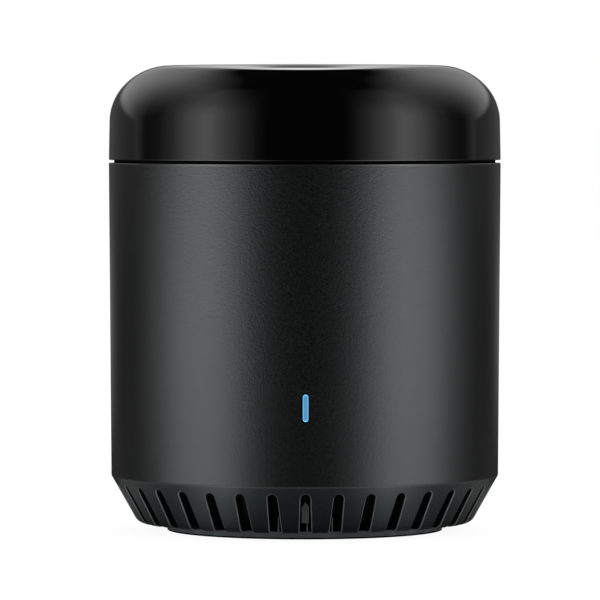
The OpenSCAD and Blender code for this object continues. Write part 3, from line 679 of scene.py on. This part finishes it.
def make_base():
    slope = math.tan(CONE_ANGLE)
    rounding = arc(ROUND_C, CONE_ROUND, -90, -CONE_TILT, 10)
    low = SEAM_R - CONE_WALL - (SEAM_Z - FLOOR_TOP_Z) * slope
    high = SEAM_R - CONE_WALL - (SEAM_Z - BASE_ROOT_Z) * slope
    outline = [(0, FLOOR_Z)] + rounding + rounded([
        rounding[-1] + (0,), (SEAM_R - SEAM_BAND * slope, SEAM_Z - SEAM_BAND, 0),
        (SEAM_R, SEAM_Z, 0.02), (BASE_SPIGOT_R, SEAM_Z, 0),
        (BASE_SPIGOT_R, BASE_SPIGOT_TOP_Z, 0), (BASE_SPIGOT_IN_R, BASE_SPIGOT_TOP_Z, 0),
        (BASE_SPIGOT_IN_R, BASE_ROOT_Z, 0), (high, BASE_ROOT_Z, 0), (low, FLOOR_TOP_Z, 0),
    ])[1:] + [(0, FLOOR_TOP_Z)]
    base = revolve("vent_ring", outline)
    turns = [turn(360 / SLOT_COUNT * i) for i in range(SLOT_COUNT)]
    head = arc((0, SLOT_TOP_Z - SLOT_TOP_R), SLOT_TOP_R, 0, 180, 16)
    under = FLOOR_Z - 0.5
    half = slot_half(under)
    cut = prism("slot", head + [(-half, under), (half, under)], -SLOT_IN_R, -28.0)
    boolean(base, copies(cut, turns))
    boolean(base, copies(slot_flare(), turns))
    seats = tube("seats", SCREW_SEAT_R, FLOOR_Z, SEAT_TOP_Z)
    boolean(base, copies(seats, around(SCREW_R, SCREW_TURNS)), "UNION")
    for r, end in ((SCREW_HOLE_R, SEAT_TOP_Z + 0.5), (COUNTERBORE_R, SEAT_Z)):
        holes = tube("holes", r, under, end)
        boolean(base, copies(holes, around(SCREW_R, SCREW_TURNS)))

    # Band under the seam in a painted highlight, the slots' broken edges in a painted highlight,
    # and the slots' inner ends in painted shade
    seam = (SEAM_HIGHLIGHT, lambda c, n: (c.xy.length > SEAM_R - 0.3
                                and SEAM_Z - SEAM_BAND - 0.01 < c.z < SEAM_Z))
    ends = (PAINTED_SHADE, lambda c, n: (SLOT_IN_R - 0.15 < c.xy.length < SLOT_IN_R + 0.1
                               and abs(n.z) < 0.3 and c.z < FLOOR_TOP_Z))
    lip_highlights = (LIP_HIGHLIGHT, on_slot_lip)
    dress(base, "housing", "base_plastic", BASE, "vent_base", edges=(seam, lip_highlights, ends))

    # Locating rib: a block, its pointed tongue and three thin ridges
    w, back, t, top = LOCATOR
    rib = block("locating_rib", (-w / 2, -back, FLOOR_TOP_Z - 0.2), (w / 2, -back + t, top))
    tw, tz, point, out = TONGUE
    tongue = prism("tongue", [(-tw / 2, FLOOR_TOP_Z), (tw / 2, FLOOR_TOP_Z), (tw / 2, tz - point),
                              (0, tz), (-tw / 2, tz - point)], -back - out, -back + t)
    boolean(rib, tongue, "UNION")
    for x in (0.25, RIDGE_HALF - w / 2, w / 2 - RIDGE_HALF):
        ridge = block("ridge", (x - RIDGE_HALF, -back - RIDGE_OUT, FLOOR_Z + 0.08),
                      (x + RIDGE_HALF, -back + 0.5, top - 0.02))
        boolean(rib, ridge, "UNION")
    # The rib's light grey is painted light; its block behind the tongue takes painted shade
    dark = (PAINTED_SHADE, lambda c, n: c.z < top + 0.02 and c.y > -back - 0.02)
    dress(rib, "housing", "base_plastic", RIB_PAINTED_LIGHT, edges=(dark,))

    # Near-black screen behind the slots, a dark sheet that stands in for shade inside the base,
    # open at the front where the locating rib stands
    screen = tube("shade_screen", SCREEN_OUT_R, FLOOR_TOP_Z, SLOT_TOP_Z,
                  SCREEN_OUT_R - SCREEN_WALL, 128)
    boolean(screen, block("gap", (-SCREEN_GAP, -21, 1), (SCREEN_GAP, -17, 8)))
    dress(screen, "housing", "base_plastic", SHADE_SCREEN)


# Foot

def make_foot():
    inner, outer, deep = GROOVE
    outline = rounded([
        (FOOT_R, 0, 0.07), (FOOT_R, FOOT_BAND, 0), (FOOT_R, FOOT_T, 0.05), (0, FOOT_T, 0),
        (0, 0, 0),
        (inner, 0, 0.08), (inner, deep, 0.1), (outer, deep, 0.1), (outer, 0, 0.08),
    ])
    # The foot's lower band takes painted shade, a painted contact shadow
    low = (PAINTED_SHADE, lambda c, n: c.z < FOOT_BAND - 0.01 and c.xy.length > FOOT_R - 0.5)
    foot = revolve("foot_disc", outline)
    dress(foot, "housing", "foot_rubber", FOOT, "foot_pad", edges=(low,))


# Light pipe

def make_pipe():
    w, h = LENS
    face = -(wall_r(WINDOW_Z) - 0.05)
    def lens(o):
        o += LENS_GAP
        return [(x, z + WINDOW_Z) for x, z in slab(w - 2 * o, h - 2 * o, w / 2 - o - 0.02, 8)]
    stations = [(0.04, 0.0), (0.01, 0.03), (0.0, 0.1), (0.0, 2.0)]
    pipe = loft("status_lens", flare(lens, stations, face))
    plate = slab(PIPE[0], PIPE[2] - PIPE[1], 0.2, 4)
    mid = (PIPE[1] + PIPE[2]) / 2
    flange = prism("flange", [(x, z + mid) for x, z in plate], -POCKET_Y, -POCKET_Y + PIPE[3])
    boolean(pipe, flange, "UNION")
    # The flange's faces behind the lens take painted shade
    border = (PAINTED_SHADE, lambda c, n: n.y > -0.9 and c.y < -25.5)
    dress(pipe, "housing", "pipe_lens", PIPE_LENS, "light_pipe", edges=(border,))


# Power inlet

def inlet_outline(inset, r):
    w, h, c = USB[0] / 2 - inset, USB[1] / 2 - inset, USB[4]
    return [(x, z + USB_Z) for x, z in rounded([
        (-w, h, r), (-w, c - h, r), (c - w, -h, r), (w - c, -h, r), (w, c - h, r), (w, h, r)], 5)]


def make_inlet():
    outer = [(0.08, 0.0), (0.0, -0.06), (0.0, -USB[2])]
    shell = loft("inlet_shell", flare(lambda o: inlet_outline(o, 0.4 - o), outer, USB_MOUTH_Y))
    t = USB[3]
    inner = [(t - 0.3, 0.22), (t - 0.08, 0.0), (t, -0.08), (t, -USB[2] - 0.5)]
    hollow = flare(lambda o: inlet_outline(o, max(0.05, 0.4 - o)), inner, USB_MOUTH_Y)
    boolean(shell, loft("hollow", hollow))
    dress(shell, "housing", "inlet_steel", STEEL, "usb_shell")


# Reset key, with a dished and rounded face

def make_key():
    r = KEY[0]
    dish = [(r * 0.8 * i / 6, KEY_FACE_Y - 0.1 + 0.1 * (i / 6) ** 2) for i in range(7)]
    outline = rounded([
        (0, PLUNGER_Y, 0), (KEY[2], PLUNGER_Y, 0.1), (KEY[2], KEY_FLANGE_Y - 0.6, 0),
        (KEY[1], KEY_FLANGE_Y - 0.6, 0.08), (KEY[1], KEY_FLANGE_Y, 0.08), (r, KEY_FLANGE_Y, 0),
        (r, KEY_FACE_Y, 0.2),
    ]) + dish[::-1]
    key = revolve("reset_keycap", outline, 64)
    moved(key, turn(-KEY_TURN) @ shift(0, 0, KEY_Z) @ turn(-90, "X"))
    dress(key, "reset_button", "key_plastic", KEYCAP, "reset_key")


make_cap()
make_body()
make_base()
make_foot()
make_pipe()
make_inlet()
make_key()

# Every CAD node that still shows takes its material slot's finish
for row in frame["record"]["subparts"]:
    node = frame["nodes"][row["node"]]
    if not node.hide_render:
        node.data.materials.clear()
        node.data.materials.append(INNER[row["material_slot"]])


# Studio

def direction(az, el):
    """Unit vector; azimuth 0 points to the camera, elevation in degrees."""
    a, e = math.radians(az), math.radians(el)
    return Vector((math.sin(a) * math.cos(e), -math.cos(a) * math.cos(e), math.sin(e)))


def curve_value(stops, x):
    """Value at a place between (place, value) stops, held beyond the first and the last."""
    if x <= stops[0][0]:
        return stops[0][1]
    for (x0, v0), (x1, v1) in zip(stops, stops[1:]):
        if x <= x1:
            return v0 + (v1 - v0) * (x - x0) / (x1 - x0)
    return stops[-1][1]


def light_path(tree):
    """1 for camera, glossy and transmission rays, else 0."""
    path = tree.nodes.new("ShaderNodeLightPath")
    seen = math_node(tree, "MAXIMUM", path.outputs["Is Camera Ray"], path.outputs["Is Glossy Ray"])
    return math_node(tree, "MAXIMUM", seen, path.outputs["Is Transmission Ray"])


def make_world():
    world = bpy.data.worlds.new("studio")
    bpy.context.scene.world = world
    world.use_nodes = True
    tree = world.node_tree
    tree.nodes.clear()
    plain = tree.nodes.new("ShaderNodeBackground")
    plain.inputs["Strength"].default_value = 0.6
    white = tree.nodes.new("ShaderNodeBackground")
    white.inputs["Strength"].default_value = 1.0
    for node in (plain, white):
        node.inputs["Color"].default_value = (1, 1, 1, 1)
    mix = tree.nodes.new("ShaderNodeMixShader")
    out = tree.nodes.new("ShaderNodeOutputWorld")
    tree.links.new(light_path(tree), mix.inputs["Fac"])
    tree.links.new(plain.outputs[0], mix.inputs[1])
    tree.links.new(white.outputs[0], mix.inputs[2])
    tree.links.new(mix.outputs[0], out.inputs["Surface"])


def stage_mesh(name, verts, faces, material):
    mesh = bpy.data.meshes.new(name)
    mesh.from_pydata(verts, [], faces)
    obj = bpy.data.objects.new(name, mesh)
    bpy.context.scene.collection.objects.link(obj)
    obj.data.materials.append(material)
    return obj


def bare_material(name):
    """Material without nodes, for a studio surface."""
    mat = bpy.data.materials.new(name)
    mat.use_nodes = True
    mat.node_tree.nodes.clear()
    return mat, mat.node_tree


def floor_material():
    """Pale floor that camera and glossy rays see as near white."""
    mat, tree = bare_material("studio_floor")
    pale = tree.nodes.new("ShaderNodeBsdfDiffuse")
    pale.inputs["Color"].default_value = (0.86, 0.86, 0.86, 1)
    glow = tree.nodes.new("ShaderNodeEmission")
    glow.inputs["Strength"].default_value = 1.06
    mix = tree.nodes.new("ShaderNodeMixShader")
    out = tree.nodes.new("ShaderNodeOutputMaterial")
    seen = math_node(tree, "MULTIPLY", light_path(tree), 0.88)
    tree.links.new(seen, mix.inputs["Fac"])
    tree.links.new(pale.outputs[0], mix.inputs[1])
    tree.links.new(glow.outputs[0], mix.inputs[2])
    tree.links.new(mix.outputs[0], out.inputs["Surface"])
    return mat


def make_floor():
    s = 4.0
    corners = [(-s, -s, 0), (s, -s, 0), (s, s, 0), (-s, s, 0)]
    stage_mesh("studio_floor", corners, [(0, 1, 2, 3)], floor_material())


def glow_material():
    """Surface whose brightness is the mesh's own level."""
    mat, tree = bare_material("studio_glow")
    level = tree.nodes.new("ShaderNodeAttribute")
    level.attribute_name = "level"
    glow = tree.nodes.new("ShaderNodeEmission")
    out = tree.nodes.new("ShaderNodeOutputMaterial")
    tree.links.new(level.outputs["Fac"], glow.inputs["Strength"])
    tree.links.new(glow.outputs[0], out.inputs["Surface"])
    return mat


GLOW = glow_material()


def reflect_only(obj, levels):
    """Gives a studio surface its brightness and keeps it out of all but reflections."""
    layer = obj.data.color_attributes.new("level", "FLOAT_COLOR", "POINT")
    for k, v in enumerate(levels):
        layer.data[k].color = (v, v, v, 1)
    obj.visible_camera = False
    obj.visible_diffuse = False
    obj.visible_shadow = False
    obj.visible_transmission = False


def smooth(t):
    t = min(1.0, max(0.0, t))
    return t * t * (3 - 2 * t)


# Softboxes at both sides of the camera: brightness over azimuth and over elevation
BOX_AZ = [(22, 0.01), (28, 0.09), (36, 0.35), (44, 0.75), (52, 1.27), (56, 1.58), (60, 1.68),
          (64, 1.42), (68, 1.08), (76, 0.65), (85, 0.3), (95, 0.08), (106, 0.02)]
BOX_EL = [(0, 1.0), (12, 0.97), (22, 0.82), (32, 0.54), (42, 0.29), (52, 0.14), (62, 0.04),
          (68, 0.01)]

# White wall behind the object: its brightness, and the flag at each side
WALL_AZ = [(48, 0), (54, 0.06), (60, 0.2), (68, 0.6), (73, 0.74), (100, 0.71), (120, 0.79),
           (135, 0.9), (150, 0.9), (158, 0.8), (165, 0.66), (172, 0.55)]
FLAG_AZ = [(48, 0.4), (60, 0.5), (72, 0.7), (84, 1.05), (96, 1.1), (108, 0.97), (120, 0.63),
           (130, 0.34), (142, 0.2), (180, 0.25)]
FLAG_EL = [(0, 0.97), (8, 0.93), (20, 0.76), (36, 0.36), (44, 0.16), (52, 0.05), (56, 0)]
FLAG_MOST = 0.97

# The wall's upper edge and its softness, its lower edge, and the brightness under that one
TOP_AZ = [(60, 55), (90, 59.5), (100, 61.5), (118, 61.5), (130, 59.5), (140, 56.5), (150, 52.5),
          (160, 46.5), (166, 42), (172, 39), (180, 38)]
TOP_SOFT = [(140, 12), (150, 11.5), (160, 10), (172, 6)]
LOW_AZ = [(100, -20), (112, -4), (120, 3), (130, 7.7), (140, 11), (150, 12.4), (163, 12),
          (170, 10.5), (180, 8)]
LOW_SOFT = 5
DARK_AZ = [(48, 0), (106, 0.02), (112, 0.08), (120, 0.13), (145, 0.12), (155, 0.11), (165, 0.07),
           (172, 0.1), (180, 0.15)]

# Arched strip lamp on the wall: distance from the rear and brightness over elevation
ARCH_OFF = [(9, 2.2), (18, 3.3), (26, 5), (33, 5.8), (40, 6.4)]
ARCH_EL = [(8, 0), (13, 0.15), (18, 0.45), (26, 1.0), (32, 1.6), (38, 2.4), (42, 3.4), (48, 6.6)]

# The arch's head, half an ellipse: where it starts, its half width, its rise, its outer and its
# inner falloff; then the lamp's own softness, and where it ends
HEAD_EL, HEAD_HALF, HEAD_RISE, HEAD_OUT, HEAD_IN = 40, 6.4, 7, 6.5, 2
ARCH_CORE, ARCH_SOFT = 1.15, 3.6
ARCH_END, ARCH_END_SOFT = 54.5, 2.5

# The dome's least brightness, and its radius and the height of its centre in metres
DARKEST = 0.008
DOME_R, DOME_UP = 1.6, 0.04

# Table round the object: brightness over the azimuth that the body mirrors, at FAR_R and at
# MID_R in millimetres, and over the table's own azimuth close to the foot
MID_R, FAR_R = 170, 900
TABLE_FAR = [(0, 0.1), (15, 0.24), (22, 0.6), (30, 1.25), (37, 2.6), (45, 4.1), (52, 4.95),
             (60, 5.1), (75, 4.55), (82, 3.8), (90, 2.5), (97, 1.4), (105, 0.75), (113, 0.25),
             (120, 0.03), (145, 0.03), (158, 0.22), (165, 0.33), (180, 0.35)]
TABLE_MID = [(0, 0.1), (15, 0.16), (22, 0.35), (30, 0.65), (37, 1.28), (45, 2.05), (52, 2.52),
             (60, 2.6), (75, 2.28), (82, 1.8), (90, 1.16), (97, 0.62), (105, 0.34), (113, 0.2),
             (120, 0.12), (150, 0.07), (165, 0.03)]
# Brightness near the foot over the table's own azimuth: painted pools of softbox light
TABLE_NEAR = [(0, 0.24), (10, 0.27), (17, 0.42), (24, 0.85), (31, 1.42), (41, 1.05), (46, 0.72),
              (52, 0.42), (58, 0.3), (70, 0.25), (80, 0.22), (110, 0.12), (140, 0.06),
              (180, 0.05)]
# Level right at the foot: a painted shadow of the object on the table
TABLE_DARK = 0.03


def room_level(az, el):
    """Brightness of the studio's surround; azimuth from the camera and elevation, in degrees."""
    box = curve_value(BOX_AZ, az) * curve_value(BOX_EL, el)
    flag = 1 - min(FLAG_MOST, curve_value(FLAG_AZ, az) * curve_value(FLAG_EL, el))
    edge, soft = curve_value(TOP_AZ, az), curve_value(TOP_SOFT, az)
    low = smooth((el - curve_value(LOW_AZ, az) + LOW_SOFT / 2) / LOW_SOFT)
    wall = curve_value(WALL_AZ, az) * flag * smooth((edge + soft - el) / (2 * soft)) * low
    off = 180 - az
    away = abs(off - curve_value(ARCH_OFF, el))
    if el >= HEAD_EL:
        ring = math.hypot(off / HEAD_HALF, (el - HEAD_EL) / HEAD_RISE) - 1
        away = ring * HEAD_OUT if ring > 0 else -ring * HEAD_IN
    arch = curve_value(ARCH_EL, el) * smooth(ARCH_CORE - away / ARCH_SOFT)
    arch *= smooth((ARCH_END - el) / ARCH_END_SOFT)
    return max(DARKEST, box + wall + arch + curve_value(DARK_AZ, az) * (1 - low))


def make_surround():
    """Dome seen only in reflections, finer towards the rear."""
    half = [2 * i for i in range(76)] + list(range(152, 181))
    az = half + [360 - a for a in half[-2:0:-1]]
    el = [-1.45] + list(range(61)) + list(range(62, 90, 3)) + [89.9]
    n = len(az)
    verts = [direction(a, e) * DOME_R + Vector((0, 0, DOME_UP)) for e in el for a in az]
    levels = [room_level(min(a, 360 - a), e) for e in el for a in az]
    faces = [(j * n + i, j * n + (i + 1) % n, (j + 1) * n + (i + 1) % n, (j + 1) * n + i)
             for j in range(len(el) - 1) for i in range(n)]
    faces.append(tuple(range((len(el) - 1) * n, len(el) * n)))
    reflect_only(stage_mesh("studio_surround", verts, faces, GLOW), levels)


def table_azimuth(place, r):
    """Azimuth in degrees that the round body mirrors from a place on the table.

    place is the azimuth of the place, and r its distance from the axis in millimetres.
    """
    low, high = 0.0, 90.0
    for _ in range(30):
        mid = (low + high) / 2
        a = math.radians(mid)
        way = math.sqrt(r * r - (BODY_R * math.sin(a)) ** 2) - BODY_R * math.cos(a)
        x = BODY_R * math.sin(a) + way * math.sin(2 * a)
        y = BODY_R * math.cos(a) + way * math.cos(2 * a)
        if math.degrees(math.atan2(x, y)) < place:
            low = mid
        else:
            high = mid
    return 2 * low


def make_table():
    """Table top seen only in reflections: painted light on the table, dark at the foot as a
    painted shadow; rings are (millimetres, nearness).
    """
    rings = [(10, 0.0), (19.2, 0.0), (23.5, 0.08), (26, 0.45), (28, 0.65), (32, 1.35), (38, 1.35)]
    rings += [(r, None) for r in (42, 48, 56, 66, 80, 100, 130, 180, 260, 400, 700, 1600)]
    n = 180
    verts, levels = [], []
    for r, near in rings:
        for i in range(n):
            az = 360 * i / n
            verts.append(direction(az, 0) * r * MM + Vector((0, 0, 0.00002)))
            place = min(az, 360 - az)
            if near is None:
                far = min(1.0, max(0.0, math.log(r / MID_R) / math.log(FAR_R / MID_R)))
                seen = table_azimuth(place, r)
                level = curve_value(TABLE_FAR, seen) * far
                level += curve_value(TABLE_MID, seen) * (1 - far)
            else:
                level = curve_value(TABLE_NEAR, place) * near + TABLE_DARK * (1 - near)
            levels.append(level)
    faces = [(i * n + k, i * n + (k + 1) % n, (i + 1) * n + (k + 1) % n, (i + 1) * n + k)
             for i in range(len(rings) - 1) for k in range(n)]
    reflect_only(stage_mesh("studio_table", verts, faces, GLOW), levels)


def lamp(name, az, el, distance, size, power):
    """Disk lamp that no reflection shows, aimed at the foot; degrees, metres and watts."""
    data = bpy.data.lights.new(name, "AREA")
    data.shape = "DISK"
    data.size = size
    data.energy = power
    obj = bpy.data.objects.new(name, data)
    bpy.context.scene.collection.objects.link(obj)
    obj.location = direction(az, el) * distance
    obj.rotation_euler = (-direction(az, el)).to_track_quat("-Z", "Y").to_euler()
    obj.visible_glossy = False


# Camera as fitted to the photograph's outline: metres, degrees, and millimetres for the lens
CAMERA_AWAY, CAMERA_UP = 0.756, 0.05625
CAMERA_YAW, CAMERA_TILT, CAMERA_ASIDE = 0.25, 1.862, 0.0496
CAMERA_LENS = 328.86


def make_camera():
    data = bpy.data.cameras.new("camera")
    data.sensor_width = 36
    data.lens = CAMERA_LENS
    data.clip_start = 0.01
    cam = bpy.data.objects.new("camera", data)
    bpy.context.scene.collection.objects.link(cam)
    yaw = math.radians(CAMERA_YAW)
    cam.location = (-CAMERA_AWAY * math.sin(yaw), -CAMERA_AWAY * math.cos(yaw), CAMERA_UP)
    cam.rotation_euler = (math.radians(90 - CAMERA_TILT), 0, -yaw + math.radians(CAMERA_ASIDE))
    bpy.context.scene.camera = cam


make_world()
make_floor()
make_surround()
make_table()
lamp("lamp_left", -50, 40, 1.8, 0.7, 7)
lamp("lamp_right", 50, 40, 1.8, 0.7, 7)
lamp("lamp_rear", 165, 50, 1.8, 0.8, 6)
make_camera()

scene = bpy.context.scene
scene.view_settings.view_transform = "Standard"
